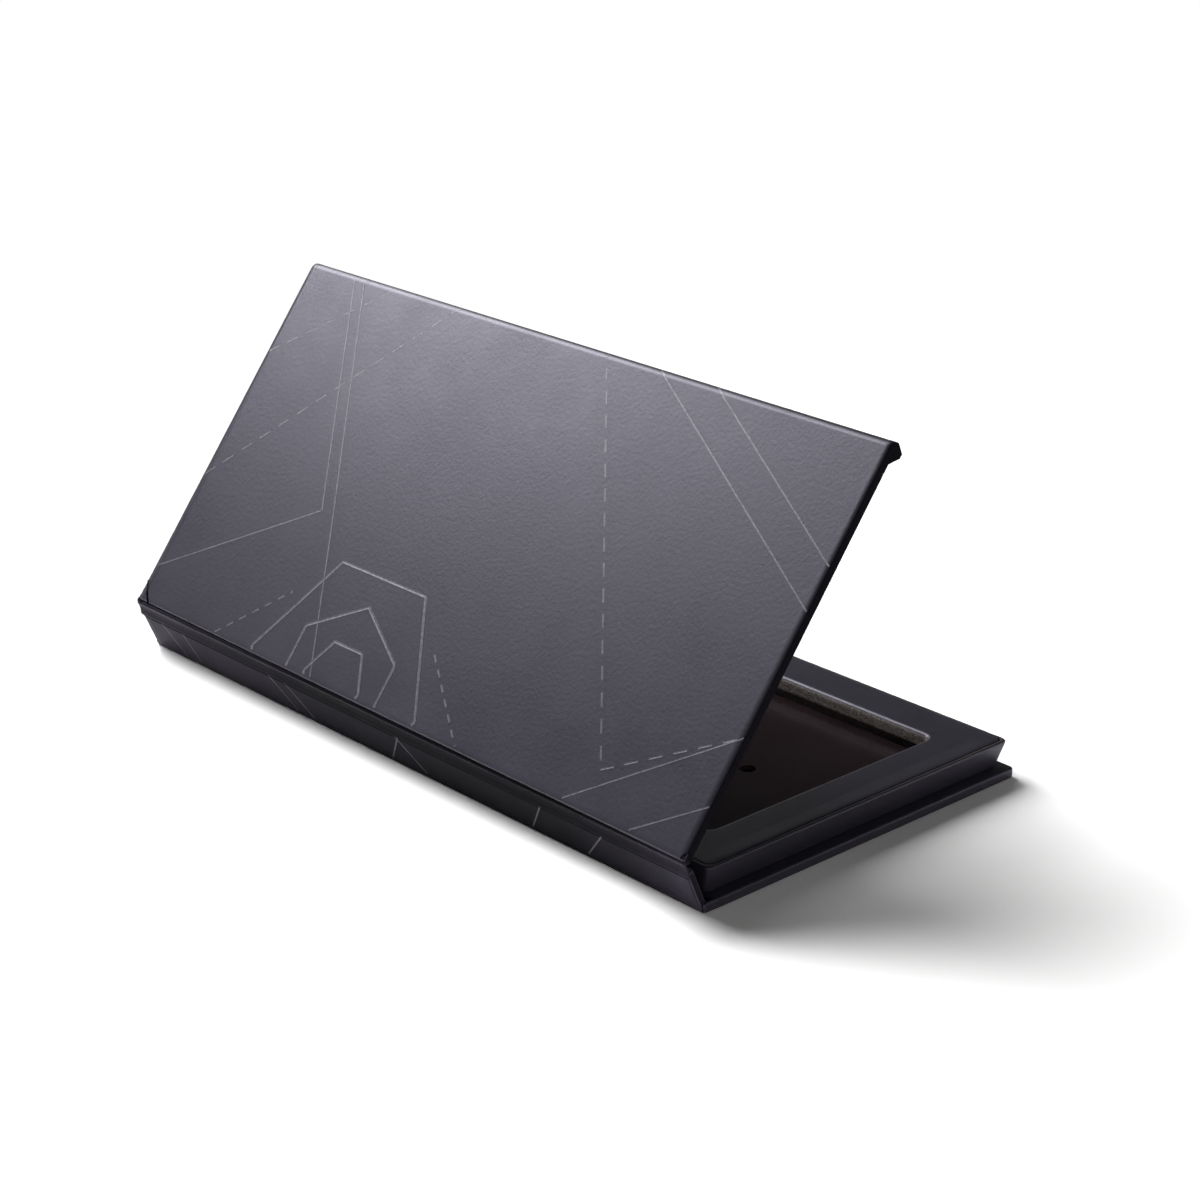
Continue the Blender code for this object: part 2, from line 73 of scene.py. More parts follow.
LID_HALF = 76.65 * MM
LID_EDGE = 74.9 * MM
LID_THICKNESS = 1.5 * MM
FREE_RADIUS = 1.5 * MM
SPINE_FOOT, SPINE_HEAD = 0.55 * MM, 8.5 * MM
SPINE_THICKNESS = 1.4 * MM
SPINE_RADIUS = 0.4 * MM
TRAY_TOP = 7.0 * MM
RIM_HALF, RIM_REAR, RIM_FRONT = 76.0 * MM, -35.3 * MM, 36.65 * MM
WELL_HALF, WELL_REAR, WELL_FRONT = 66.0 * MM, -25.55 * MM, 27.6 * MM
WELL_RADIUS = 1.6 * MM


def on_spine(x, inward, up):
    """Point in from the spine's outer face and up from its foot."""
    return SPINE_FRAME @ Vector((x, inward, up))


def on_lid(x, along, out):
    """Point along the lid from its crease and out from its outer face."""
    return LID_FRAME @ Vector((x, along, out))


# Materials


class Shader:
    """One node material round a Principled shader, with short names for its nodes."""

    def __init__(self, name):
        self.material = bpy.data.materials.new(name)
        self.material.use_nodes = True
        self.tree = self.material.node_tree
        self.tree.nodes.clear()
        self.output = self.add("ShaderNodeOutputMaterial")
        self.body = self.add("ShaderNodeBsdfPrincipled")
        self.link(self.body.outputs[0], self.output.inputs["Surface"])
        self.place = self.add("ShaderNodeTexCoord").outputs["Object"]

    def add(self, kind):
        return self.tree.nodes.new(kind)

    def link(self, source, target):
        self.tree.links.new(source, target)

    def stretched(self, scale):
        """Object coordinates, scaled along each axis."""
        node = self.add("ShaderNodeMapping")
        node.inputs["Scale"].default_value = scale
        self.link(self.place, node.inputs["Vector"])
        return node.outputs["Vector"]

    def axis(self, name):
        node = self.add("ShaderNodeSeparateXYZ")
        self.link(self.place, node.inputs[0])
        return node.outputs[name]

    def noise(self, scale=1.0, detail=3.0, roughness=0.5, vector=None):
        node = self.add("ShaderNodeTexNoise")
        node.inputs["Scale"].default_value = scale
        node.inputs["Detail"].default_value = detail
        node.inputs["Roughness"].default_value = roughness
        self.link(vector or self.place, node.inputs["Vector"])
        return node.outputs["Fac"]

    def cells(self, scale):
        """Distance to the nearest of many scattered points."""
        node = self.add("ShaderNodeTexVoronoi")
        node.inputs["Scale"].default_value = scale
        self.link(self.place, node.inputs["Vector"])
        return node.outputs["Distance"]

    def ramp(self, value, stops):
        node = self.add("ShaderNodeValToRGB")
        ramp = node.color_ramp
        while len(ramp.elements) < len(stops):
            ramp.elements.new(0.5)
        for element, (place, colour) in zip(ramp.elements, stops):
            element.position = place
            element.color = (*colour, 1.0)
        self.link(value, node.inputs["Fac"])
        return node.outputs["Color"]

    def span(self, value, low, high, start=0.3, end=0.7):
        """Values from start to end, mapped to low to high."""
        node = self.add("ShaderNodeMapRange")
        node.inputs["From Min"].default_value = start
        node.inputs["From Max"].default_value = end
        node.inputs["To Min"].default_value = low
        node.inputs["To Max"].default_value = high
        self.link(value, node.inputs["Value"])
        return node.outputs["Result"]

    def mix(self, share, first, second, blend="MIX"):
        node = self.add("ShaderNodeMix")
        node.data_type = "RGBA"
        node.blend_type = blend
        if isinstance(share, float):
            node.inputs["Factor"].default_value = share
        else:
            self.link(share, node.inputs["Factor"])
        for socket, value in ((node.inputs[6], first), (node.inputs[7], second)):
            if isinstance(value, tuple):
                socket.default_value = (*value, 1.0)
            else:
                self.link(value, socket)
        return node.outputs[2]

    def bump(self, value, distance, strength=1.0, below=None):
        node = self.add("ShaderNodeBump")
        node.inputs["Distance"].default_value = distance
        node.inputs["Strength"].default_value = strength
        self.link(value, node.inputs["Height"])
        if below:
            self.link(below, node.inputs["Normal"])
        return node.outputs["Normal"]

    def colour(self, value):
        self.link(value, self.body.inputs["Base Color"])

    def rough(self, value):
        self.link(value, self.body.inputs["Roughness"])

    def normal(self, value):
        self.link(value, self.body.inputs["Normal"])

    def set(self, **values):
        for name, value in values.items():
            self.body.inputs[name.replace("_", " ")].default_value = value


def deepened(tones, depth):
    """The colours times one factor."""
    return [tuple(depth * c for c in tone) for tone in tones]


def soft_touch_paper(name, depth, gloss, along_x=None, tint=(1.0, 1.0, 1.0)):
    """Matt rubbery laminate over paper: a fine pebble, faint creasing and a cloudy sheen.

    depth and tint multiply its colour. along_x gives further factors from the left end (0)
    to the right end (1), which paint shade and light along the part.
    """
    s = Shader(name)
    clouds = s.noise(scale=95.0, detail=4.0, roughness=0.6)
    tones = ((0.0205, 0.0185, 0.0270), (0.0250, 0.0226, 0.0325), (0.044, 0.040, 0.054))
    dark, pale, fleck = (tuple(depth * c * t for c, t in zip(tone, tint)) for tone in tones)
    base = s.ramp(clouds, [(0.30, dark), (0.72, pale)])
    flecks = s.noise(scale=1500.0, detail=3.0, roughness=0.65)
    base = s.mix(s.span(flecks, low=0.0, high=0.25, start=0.5, end=0.8), base, fleck)
    # Painted shade and light: the colour times factors that change from one end to the other
    if along_x:
        across = s.span(s.axis("X"), low=0.0, high=1.0, start=-LID_HALF, end=LID_HALF)
        factors = s.ramp(across, [(place, (factor,) * 3) for place, factor in along_x])
        base = s.mix(1.0, base, factors, "MULTIPLY")
    s.colour(base)
    sheen = s.noise(scale=75.0, detail=7.0, roughness=0.68)
    s.rough(s.span(sheen, low=0.375, high=0.445, start=0.34, end=0.66))
    creasing = s.noise(scale=520.0, detail=4.0, roughness=0.6)
    pebble = s.noise(scale=1350.0, detail=3.0, roughness=0.6)
    grain = s.noise(scale=4200.0, detail=2.0)
    creased = s.bump(creasing, distance=0.00012, strength=0.07)
    pebbled = s.bump(pebble, distance=0.00006, strength=0.50, below=creased)
    s.normal(s.bump(grain, distance=0.00002, strength=0.45, below=pebbled))
    s.set(IOR=1.5, Specular_IOR_Level=gloss, Specular_Tint=(0.82, 0.795, 1.0, 1.0))
    return s.material


def liner_paper():
    """Uncoated black paper with fibres that lie along the spine."""
    s = Shader("liner_paper")
    clouds = s.noise(scale=140.0, detail=4.0)
    base = s.ramp(clouds, [(0.35, (0.0200, 0.0185, 0.0220)), (0.70, (0.0290, 0.0270, 0.0320))])
    lengthwise = s.stretched((0.25, 1.0, 1.0))
    fibres = s.noise(scale=1200.0, detail=4.0, roughness=0.6, vector=lengthwise)
    shown = s.span(fibres, low=0.0, high=0.35, start=0.5, end=0.8)
    s.colour(s.mix(shown, base, (0.050, 0.047, 0.055)))
    s.rough(s.span(fibres, low=0.60, high=0.74))
    s.normal(s.bump(fibres, distance=0.00004, strength=0.35))
    return s.material


def greyboard():
    """Recycled pulp: grey-brown with darker and paler fibres, layered in its thickness."""
    s = Shader("greyboard")
    pulp = s.noise(scale=900.0, detail=5.0, roughness=0.7)
    dark, middle, pale = (0.19, 0.165, 0.14), (0.30, 0.27, 0.235), (0.42, 0.39, 0.35)
    base = s.ramp(pulp, [(0.3, dark), (0.5, middle), (0.72, pale)])
    layers = s.noise(detail=3.0, roughness=0.6, vector=s.stretched((300.0, 300.0, 5200.0)))
    shown = s.span(layers, low=0.0, high=0.4, start=0.5, end=0.75)
    s.colour(s.mix(shown, base, (0.15, 0.13, 0.11)))
    s.rough(s.span(layers, low=0.82, high=0.94))
    s.normal(s.bump(layers, distance=0.00006, strength=0.6))
    return s.material


def black_board(name, depth):
    """Raw die-cut edge of black board: brown-black layers with pale fibres standing out."""
    s = Shader(name)
    tones = ((0.045, 0.036, 0.034), (0.23, 0.195, 0.18), (0.56, 0.51, 0.48), (0.46, 0.40, 0.36))
    deep, brown, pale, speck = deepened(tones, depth)
    grain = s.noise(detail=5.0, roughness=0.75, vector=s.stretched((1700.0, 1700.0, 4200.0)))
    base = s.ramp(grain, [(0.34, deep), (0.52, brown), (0.70, pale)])
    shown = s.span(s.cells(3000.0), low=0.55, high=0.0, start=0.02, end=0.22)
    s.colour(s.mix(shown, base, speck))
    s.rough(s.span(grain, low=0.55, high=0.80))
    s.normal(s.bump(grain, distance=0.00014, strength=0.9))
    return s.material


def magnet_sheet():
    """Calendered ferrite rubber: satin brown-black with faint rolled lines and dust."""
    s = Shader("magnet_sheet")
    clouds = s.noise(scale=60.0)
    base = s.ramp(clouds, [(0.35, (0.0175, 0.0110, 0.0126)), (0.70, (0.0235, 0.0156, 0.0176))])
    rolled = s.noise(detail=3.0, roughness=0.6, vector=s.stretched((40.0, 2600.0, 40.0)))
    dusty = s.span(s.cells(420.0), low=0.5, high=0.0, start=0.0, end=0.05)
    s.colour(s.mix(dusty, base, (0.060, 0.052, 0.054)))
    s.rough(s.span(rolled, low=0.19, high=0.23))
    s.normal(s.bump(rolled, distance=0.00002, strength=0.08))
    s.set(Specular_Tint=(1.0, 0.84, 0.88, 1.0))
    return s.material


def magnet_steel():
    """Plated steel, faintly brushed along the magnet."""
    s = Shader("magnet_steel")
    brushed = s.noise(detail=4.0, roughness=0.6, vector=s.stretched((120.0, 5200.0, 5200.0)))
    s.colour(s.ramp(brushed, [(0.35, (0.50, 0.50, 0.51)), (0.68, (0.64, 0.64, 0.655))]))
    s.rough(s.span(brushed, low=0.24, high=0.38))
    s.normal(s.bump(brushed, distance=0.00002, strength=0.3))
    s.set(Metallic=1.0)
    return s.material


def line_foil(name, depth):
    """Thin matt silver print, a little broken where the paper's grain shows through."""
    s = Shader(name)
    worn_tone, full_tone = deepened(((0.12, 0.115, 0.138), (0.205, 0.197, 0.231)), depth)
    worn = s.noise(scale=1700.0, detail=4.0, roughness=0.6)
    s.colour(s.ramp(worn, [(0.36, worn_tone), (0.58, full_tone)]))
    s.rough(s.span(worn, low=0.50, high=0.42))
    s.normal(s.bump(s.noise(scale=780.0), distance=0.00004, strength=0.3))
    s.set(Metallic=0.35)
    return s.material


NEUTRAL = (1.0, 1.0, 0.93)
BROWNISH = (1.12, 1.0, 0.72)

# The spine lies in shade that fades towards both of its ends; this is painted shade and light,
# factors on its colour
SPINE_PAINTED_SHADE = [
    (0.0, 1.25), (0.15, 0.98), (0.36, 0.52), (0.62, 0.29),
    (0.80, 0.27), (0.90, 0.62), (0.96, 1.35), (1.0, 2.4),
]
# Painted shade and light on the gutter's colour in the same way, darkest in the middle
GUTTER_PAINTED_SHADE = [
    (0.0, 0.9), (0.15, 0.55), (0.36, 0.26), (0.62, 0.2),
    (0.80, 0.2), (0.92, 0.5), (1.0, 1.2),
]

PAPER = soft_touch_paper("soft_touch_paper", depth=1.0, gloss=0.55)
# Spine and gutter papers: the painted shade and light above is multiplied into their colour
SPINE_PAPER = soft_touch_paper(
    "spine_paper", depth=1.75, gloss=0.012, along_x=SPINE_PAINTED_SHADE, tint=NEUTRAL
)
# Painted shade: a darker copy of the paper without gloss, for the lid's end faces and the ring
# along the tray's rim
SHADED_END_PAPER = soft_touch_paper("shaded_end_paper", depth=0.62, gloss=0.0, tint=NEUTRAL)
# Painted light: a lighter copy of the paper without gloss, for the spine's end faces
LIT_SPINE_END_PAPER = soft_touch_paper("lit_spine_end_paper", depth=1.3, gloss=0.0, tint=NEUTRAL)
# Painted shade: near-black paper for the strips along the creases
CREASE_SHADE_PAPER = soft_touch_paper("crease_shade_paper", depth=0.12, gloss=0.0)
GUTTER_PAPER = soft_touch_paper(
    "gutter_paper", depth=1.75, gloss=0.012, along_x=GUTTER_PAINTED_SHADE, tint=NEUTRAL
)
EAR_PAPER = soft_touch_paper("ear_paper", depth=0.75, gloss=0.05, tint=NEUTRAL)
# Painted highlight: a much lighter, brownish copy of the paper for the crest along the tray's rim
RIM_HIGHLIGHT_PAPER = soft_touch_paper("rim_highlight_paper", depth=4.2, gloss=0.3, tint=BROWNISH)
LINER = liner_paper()
GREY = greyboard()
EDGE_BOARD = black_board("raw_board_edge", depth=0.92)
# Painted shade: the raw board much darkened, for the rails and floor board under the upper frame
SHADED_RAIL_BOARD = black_board("shaded_rail_board", depth=0.20)
CUT_BOARD = black_board("cut_board_edge", depth=0.66)
SHEET = magnet_sheet()
STEEL = magnet_steel()
FOIL = line_foil("line_foil", depth=0.72)
# Painted shade: the foil much darkened, for the lines on the shaded spine
DARK_SPINE_FOIL = line_foil("dark_spine_line_foil", depth=0.28)

NODE_MATERIAL = {
    "base_board": GREY,
    "base_cover_paper": PAPER,
    "floor_board": SHADED_RAIL_BOARD,
    "magnetic_sheet": SHEET,
    "lower_rail_front": SHADED_RAIL_BOARD,
    "lower_rail_rear": SHADED_RAIL_BOARD,
    "lower_rail_left": SHADED_RAIL_BOARD,
    "lower_rail_right": SHADED_RAIL_BOARD,
    "upper_frame": EDGE_BOARD,
    "tray_cover_paper": PAPER,
    "tray_magnet_left": STEEL,
    "tray_magnet_right": STEEL,
    "spine_board": GREY,
    "spine_cover_paper": SPINE_PAPER,
    "spine_liner": LINER,
    "lid_board": GREY,
    "lid_cover_paper": PAPER,
    "lid_liner": LINER,
    "lip_bar": GREY,
    "lip_magnet_left": STEEL,
    "lip_magnet_right": STEEL,
}


WELD_REACH = 0.001 * MM
SOFT_DEGREES = 40.0
FACE_WEIGHT = 90


def dress(node, shader):
    """The node's material, and shading that is smooth on its small roundings only."""
    if node.material_slots:
        for place in node.material_slots:
            place.material = shader
    else:
        node.data.materials.append(shader)
    weld = node.modifiers.new("weld", "WELD")
    weld.merge_threshold = WELD_REACH
    split = node.modifiers.new("split", "EDGE_SPLIT")
    split.split_angle = math.radians(SOFT_DEGREES)
    normals = node.modifiers.new("normals", "WEIGHTED_NORMAL")
    normals.weight = FACE_WEIGHT
    normals.keep_sharp = False


for name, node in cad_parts.items():
    dress(node, NODE_MATERIAL[name])


# Mesh helpers


def piece(name, points, faces, shader, smooth=True, closed=True):
    """An object of its own; the faces of a closed one are turned to look outwards."""
    mesh = bpy.data.meshes.new(name)
    mesh.from_pydata([tuple(p) for p in points], [], faces)
    mesh.validate()
    if closed:
        work = bmesh.new()
        work.from_mesh(mesh)
        bmesh.ops.recalc_face_normals(work, faces=work.faces)
        work.to_mesh(mesh)
        work.free()
    mesh.materials.append(shader)
    if smooth:
        mesh.polygons.foreach_set("use_smooth", [True] * len(mesh.polygons))
    obj = bpy.data.objects.new(name, mesh)
    bpy.context.scene.collection.objects.link(obj)
    return obj


def hard_edges(obj, degrees=SOFT_DEGREES):
    """Smooth shading that breaks at the sharp edges."""
    split = obj.modifiers.new("split", "EDGE_SPLIT")
    split.split_angle = math.radians(degrees)
    return obj


def band_faces(rows, count, joined=False):
    """Quads between neighbouring rings of count points, and from the last to the first."""
    faces = []
    for row in range(rows if joined else rows - 1):
        near, far = row * count, (row + 1) % rows * count
        for i in range(count):
            j = (i + 1) % count
            faces.append((near + i, near + j, far + j, far + i))
    return faces


def section_sweep(name, section, stations, shader):
    """Closed section of (a, b) points placed by each station's function, with end faces."""
    points = [place(*pair) for place in stations for pair in section]
    count = len(section)
    faces = band_faces(len(stations), count)
    faces.append(tuple(range(count))[::-1])
    faces.append(tuple(range(len(points) - count, len(points))))
    return piece(name, points, faces, shader)


def ring_piece(name, loops, shader, degrees):
    """Closed tube through rings of equal counts, the last joined to the first."""
    points = [point for loop in loops for point in loop]
    faces = band_faces(len(loops), len(loops[0]), joined=True)
    return hard_edges(piece(name, points, faces, shader), degrees)


def offset_line(line, distance):
    """The line of (a, b) points moved to its left by distance."""
    moved = []
    for i, here in enumerate(line):
        before = line[max(i - 1, 0)]
        after = line[min(i + 1, len(line) - 1)]
        along = Vector((after[0] - before[0], after[1] - before[1])).normalized()
        moved.append((here[0] - along.y * distance, here[1] + along.x * distance))
    return moved


def thick_line(line, thickness):
    """Closed section of even thickness along an open line."""
    return offset_line(line, thickness / 2) + offset_line(line, -thickness / 2)[::-1]


def smooth_line(points, steps):
    """Catmull-Rom curve through (a, b) points."""
    found = []
    ends = [points[0]] + list(points) + [points[-1]]
    for i in range(1, len(ends) - 2):
        p0, p1, p2, p3 = (Vector(p) for p in ends[i - 1:i + 3])
        for step in range(steps):
            t = step / steps
            q = 2 * p1 + (p2 - p0) * t + (2 * p0 - 5 * p1 + 4 * p2 - p3) * t * t
            q += (3 * p1 - p0 - 3 * p2 + p3) * t ** 3
            found.append(tuple(q / 2))
    found.append(tuple(points[-1]))
    return found


def quarter(radius, steps):
    """(in from the side, down from the face) points round a quarter, from the side up."""
    turns = [i / steps * QUARTER_TURN for i in range(steps + 1)]
    return [(radius * (1 - math.cos(turn)), radius * (1 - math.sin(turn))) for turn in turns]


def side_view(place, pairs):
    """World (y, z) points from pairs in millimetres that place reads in its own frame."""
    found = [place(0, a * MM, b * MM) for a, b in pairs]
    return [(point.y, point.z) for point in found]


def straight_across(rows):
    """Stations that keep a (y, z) section as it is, at each x."""
    return [lambda y, z, x=x: Vector((x, y, z)) for x in rows]


# Gutter fold: the paper from the spine's board over the crease to the lid's board

GUTTER_THICKNESS = 0.13 * MM
GUTTER_CURVE_STEPS = 4
GUTTER_ON_SPINE = [
    (0.10, 7.66), (-0.03, 7.80), (0.0, 8.2), (0.20, 8.8),
    (0.31, 9.5), (0.27, 10.1), (0.30, 10.55), (0.62, 10.85),
]
GUTTER_ON_LID = [(0.26, -0.98), (0.60, -1.08), (0.72, -1.40)]
GUTTER_ENDS = (-76.98 * MM, 76.75 * MM)
ROW_HALF, ROW_STEPS = LID_HALF - 0.08 * MM, 12
ROW = [i * ROW_HALF / ROW_STEPS for i in range(-ROW_STEPS, ROW_STEPS + 1)]

gutter_line = side_view(on_spine, GUTTER_ON_SPINE) + side_view(on_lid, GUTTER_ON_LID)
gutter_fold = section_sweep(
    "gutter_fold", thick_line(smooth_line(gutter_line, GUTTER_CURVE_STEPS), GUTTER_THICKNESS),
    straight_across([GUTTER_ENDS[0]] + ROW + [GUTTER_ENDS[1]]), GUTTER_PAPER,
)
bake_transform(gutter_fold)


# Hem: the paper's roll round the lid board's lower edge

HEM_RADIUS, HEM_STEPS = 0.34 * MM, 6
HEM_LIFT = 0.004 * MM
HEM_INNER, HEM_DEPTH = 1.6 * MM, -0.85 * MM
HEM_LOW, HEM_SLOPE = 0.55 * MM, -0.19 * MM


def hem_low(x):
    """The hem's edge comes a little nearer to the crease towards the right end."""
    return HEM_LOW + HEM_SLOPE * x / LID_HALF


def hem_roll(low):
    """The roll's section, from its lower side up to the lid's outer face."""
    return [(low + inset, HEM_LIFT - below) for inset, below in quarter(HEM_RADIUS, HEM_STEPS)]


def hem_place(x):
    """Station at x: the roll follows the slope, and the inner edge stays where it is."""
    return lambda a, b: on_lid(x, a + (hem_low(x) if a < MM else 0.0), b)


hem_line = [(HEM_INNER, HEM_LIFT), (HEM_INNER, HEM_DEPTH), (0.0, HEM_DEPTH)] + hem_roll(0.0)
hem = hard_edges(section_sweep("lid_hem", hem_line, [hem_place(x) for x in ROW], PAPER))
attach(hem, "lid")


# Caps: the paper that turns over the ends of the lid and the spine, with a soft roll

CAP_LIFT = 0.012
CAP_END = 0.02
CAP_STEPS = 4
LID_CAP_START = 0.74 * MM
LIP_ROOT, LIP_FOOT_REAR, LIP_FOOT_FRONT = 71.0 * MM, 72.9 * MM, 73.8 * MM
LIP_DEPTH = 3.4 * MM
FREE_STEPS = 8
CORNER_STEPS = 3


def outward(outline):
    """Unit normals at the corners of a closed outline, whichever way it runs."""
    area = sum(a[0] * b[1] - b[0] * a[1] for a, b in zip(outline, outline[1:] + outline[:1]))
    found = []
    for i, here in enumerate(outline):
        before, after = Vector(outline[i - 1]), Vector(outline[(i + 1) % len(outline)])
        first = (Vector(here) - before).normalized()
        second = (after - Vector(here)).normalized()
        middle = Vector((first.y + second.y, -first.x - second.x)) * (1 if area > 0 else -1)
        found.append(middle * (2 / middle.length_squared))
    return found


def cap_layers(width, roll):
    """(distance from the end, growth, tilt of the shading in degrees), lengths in millimetres."""
    layers = [(width, -0.05, 0.0), (width, CAP_LIFT, 0.0)]
    layers += [(width * 0.62, CAP_LIFT, 7.0), (width * 0.4, CAP_LIFT, 18.0)]
    for inset, below in quarter(roll, CAP_STEPS):
        layers.append((below, CAP_LIFT + 0.002 - inset, 90.0 - 60.0 * below / roll))
    return layers


def end_cap(name, outline, side, place, body, shader, end_shader, width=1.5, roll=0.32):
    """A thin cap over one end of a swept body; its shading turns softly towards the end. Its end
    faces take end_shader: painted shade on the lid, painted light on the spine.
    """
    layers = cap_layers(width, roll)
    corner_normals = outward(outline)
    points, tilts = [], []
    for depth, growth, tilt in layers:
        x = side * (LID_HALF - (depth - CAP_END) * MM)
        turn = math.radians(tilt)
        for here, normal in zip(outline, corner_normals):
            grown = normal * growth * MM
            points.append(place(x, here[0] + grown.x, here[1] + grown.y))
            flat = normal.normalized() * math.cos(turn)
            tilts.append(place(side * math.sin(turn), flat.x, flat.y) - place(0, 0, 0))
    count = len(outline)
    faces = band_faces(len(layers), count)
    faces.append(tuple(range(count)))
    faces.append(tuple(range(len(points) - count, len(points))))
    made = piece(name, points, faces, shader)
    made.data.materials.append(end_shader)
    normals = [Vector((0, 0, 1))] * len(made.data.loops)
    edge = LID_HALF - (roll - CAP_END) * MM
    for polygon in made.data.polygons:
        polygon.material_index = 1 if abs(polygon.center.x) > edge else 0
        is_end = len(polygon.vertices) > 4
        for loop in polygon.loop_indices:
            tilted = tilts[made.data.loops[loop].vertex_index]
            normals[loop] = polygon.normal.copy() if is_end else tilted
    made.data.normals_split_custom_set(normals)
    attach(made, body)


lip_outline = [
    (LIP_ROOT, -LID_THICKNESS), (LIP_FOOT_REAR, -LIP_DEPTH), (LIP_FOOT_FRONT, -LIP_DEPTH),
]
lip_outline += [(LID_EDGE - inset, -below) for inset, below in quarter(FREE_RADIUS, FREE_STEPS)]
spine_edge = quarter(SPINE_RADIUS, CORNER_STEPS)
spine_outline = [(inset, SPINE_FOOT + below) for inset, below in spine_edge[::-1]]
spine_outline += [(inset, SPINE_HEAD - below) for inset, below in spine_edge]
spine_outline += [(SPINE_THICKNESS, SPINE_HEAD), (SPINE_THICKNESS, SPINE_FOOT)]
SIDES = ((-1, "left"), (1, "right"))
for side, word in SIDES:
    low = hem_low(side * LID_HALF)
    lid_outline = [(LID_CAP_START, -LID_THICKNESS)] + lip_outline + hem_roll(low)[::-1]
    end_cap("lid_end_" + word, lid_outline, side, on_lid, "lid", PAPER, SHADED_END_PAPER)
    end_cap(
        "spine_end_" + word, spine_outline, side, on_spine, "spine",
        SPINE_PAPER, LIT_SPINE_END_PAPER, width=2.2, roll=0.5,
    )


# Ears: folded paper at the corners, where the wrap goes from one body to the next

EAR_SOFT_DEGREES = 70.0


def drawn_in(middle, share, place):
    """A station that shrinks the section towards its middle before it is placed."""
    def station(a, b):
        around = middle + (Vector((a, b)) - middle) * share
        return place(around.x, around.y)
    return station


FOOT_EAR_X = (76.75 * MM, 77.24 * MM)
FOOT_EAR_Z = (0.06 * MM, 1.97 * MM)
FOOT_EAR_RADIUS = 0.40 * MM
FOOT_EAR_ROWS = (
    (-37.30, 0.60), (-37.22, 0.80), (-37.05, 0.93), (-36.75, 1.0), (-35.6, 1.0), (-34.1, 1.0),
)


def foot_ear(side, word):
    """Folded paper that carries the base's side on to the spine's foot."""
    (x_in, x_out), (low, high) = FOOT_EAR_X, FOOT_EAR_Z
    edge = quarter(FOOT_EAR_RADIUS, CORNER_STEPS)
    section = [(x_in, low), (x_in, high)]
    section += [(x_out - inset, high - below) for inset, below in edge[::-1]]
    section += [(x_out - inset, low + below) for inset, below in edge]
    middle = Vector(((x_in + x_out) / 2, (low + high) / 2))
    stations = [
        drawn_in(middle, share, lambda a, b, y=y: Vector((side * a, y * MM, b)))
        for y, share in FOOT_EAR_ROWS
    ]
    made = section_sweep("foot_ear_" + word, section, stations, PAPER)
    hard_edges(made, EAR_SOFT_DEGREES)
    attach(made, "base")


LID_EAR_SECTION = [
    (0.02, -0.66), (0.95, -0.78), (0.95, -0.05), (0.55, -0.04), (0.20, -0.16), (0.02, -0.42),
]
LID_EAR_MIDDLE = Vector((0.5, -0.4))
LID_EAR_ROWS = ((75.7, 0.55), (76.0, 0.85), (76.5, 1.0), (76.8, 0.97), (76.95, 0.72))


def lid_ear(side, word):
    """Folded paper at the lid's hinge corner, bulging a little past the end."""
    stations = [
        drawn_in(
            LID_EAR_MIDDLE, share, lambda a, b, x=x: on_lid(side * x * MM, a * MM, b * MM)
        )
        for x, share in LID_EAR_ROWS
    ]
    made = section_sweep("lid_ear_" + word, LID_EAR_SECTION, stations, EAR_PAPER)
    hard_edges(made, EAR_SOFT_DEGREES)
    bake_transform(made)


for side, word in SIDES:
    foot_ear(side, word)
for side, word in SIDES:
    lid_ear(side, word)


# Foot fold: the paper from the base's underside round to the spine's outer face

FOOT_THICKNESS = 0.10 * MM
FOOT_ON_BASE = [(-36.75, 0.06), (-36.95, 0.06), (-37.10, 0.065), (-37.19, 0.10)]
FOOT_ON_SPINE = [(0.06, 0.22), (0.055, 0.42), (0.055, 0.70), (0.055, 1.02)]

foot_line = [(y * MM, z * MM) for y, z in FOOT_ON_BASE] + side_view(on_spine, FOOT_ON_SPINE)
foot_fold = section_sweep(
    "foot_fold", thick_line(foot_line, FOOT_THICKNESS), straight_across(ROW), SPINE_PAPER
)
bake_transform(foot_fold)


# Tray lap: the second layer of paper that ends just inside the tray's rim, with a dark ring of
# painted shade for a fine groove before its edge, and a pale crest along the rim, a painted
# highlight

RIM_CORNER_CUT = 0.9 * MM
RIM_STEPS = (16, 30, 16, 30)
RIM_WAVES = 110.0

# (inset from the rim, height over the tray's top, waviness), in millimetres
LAP_RINGS = (
    (0.78, -0.03, 0.22), (0.80, 0.10, 0.22), (0.90, 0.125, 0.22),
    (1.8, 0.085, 0.1), (4.2, 0.004, 0.0), (4.2, -0.03, 0.0),
)
# A flat dark ring of painted shade where the groove lies
GROOVE_SHADE_RINGS = (
    (0.62, 0.020, 0.22), (0.80, 0.020, 0.22), (0.80, -0.03, 0.22), (0.62, -0.03, 0.22),
)
# A pale raised crest: a painted highlight along the rim
CREST_RINGS = (
    (0.30, 0.012, 0.10), (0.40, 0.035, 0.10), (0.54, 0.018, 0.10),
    (0.54, -0.03, 0.10), (0.30, -0.03, 0.10),
)


def rim_ring(inset, height, wander):
    """Points round the tray's top at an inset, each side divided and a little wavy."""
    x, rear, front = RIM_HALF - inset * MM, RIM_REAR + inset * MM, RIM_FRONT - inset * MM
    corners = [Vector(pair) for pair in ((x, rear), (x, front), (-x, front), (-x, rear))]
    found = []
    for i, count in enumerate(RIM_STEPS):
        start, end = corners[i], corners[(i + 1) % 4]
        way = (end - start).normalized()
        across = Vector((-way.y, way.x))
        start, end = start + way * RIM_CORNER_CUT, end - way * RIM_CORNER_CUT
        for step in range(count + 1):
            here = start.lerp(end, step / count)
            if 0 < step < count:
                wave = noise.noise(Vector((here.x, here.y, i)) * RIM_WAVES)
                here += across * wave * wander * MM
            found.append(Vector((here.x, here.y, TRAY_TOP + height * MM)))
    return found


